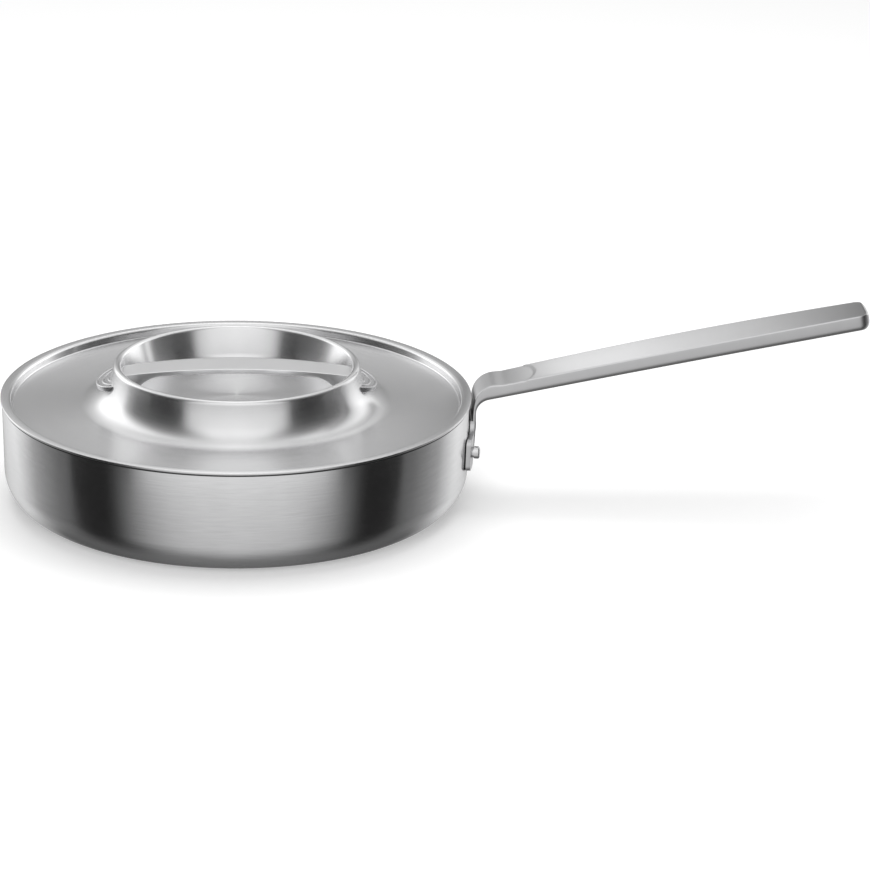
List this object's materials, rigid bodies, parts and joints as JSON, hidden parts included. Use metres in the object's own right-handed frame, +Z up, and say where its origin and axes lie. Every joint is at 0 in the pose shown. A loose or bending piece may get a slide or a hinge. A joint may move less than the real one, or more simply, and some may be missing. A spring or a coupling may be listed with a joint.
{
  "type": "saute pan with lid",
  "caption": "Low straight-sided saute pan in brushed steel with a long cast handle and a lift-off lid whose raised crater holds a sunken bridge grip.",
  "frame": {"origin": "middle of the pan's flat base, on the worktop", "axes": "+Z up, +X from the middle of the pan along the handle, +Y to the left of the handle"},
  "size_m": [0.4572, 0.2482, 0.1054],
  "materials": {
    "pan_steel": "satin, brushed along the rim",
    "core_aluminium": "plain, seen only at the rim's edge",
    "lid_steel": "satin, spun in circles",
    "handle_steel": "fine satin, cast",
    "rivet_steel": "turned",
    "lug_steel": "turned rings"
  },
  "bodies": {
    "pan": {"pan_outer_skin": "pan_steel", "pan_core": "core_aluminium", "pan_inner_skin": "pan_steel", "handle": "handle_steel", "rivet_front": "rivet_steel", "rivet_rear": "rivet_steel"},
    "lid": {"lid_shell": "lid_steel", "lid_strap": "handle_steel", "lug_left": "lug_steel", "lug_right": "lug_steel"}
  },
  "joints": [
    {"name": "lid_lift", "type": "slide", "parent": "pan", "child": "lid", "axis": [0, 0, 1], "range_m": [0, 0.12]}
  ]
}
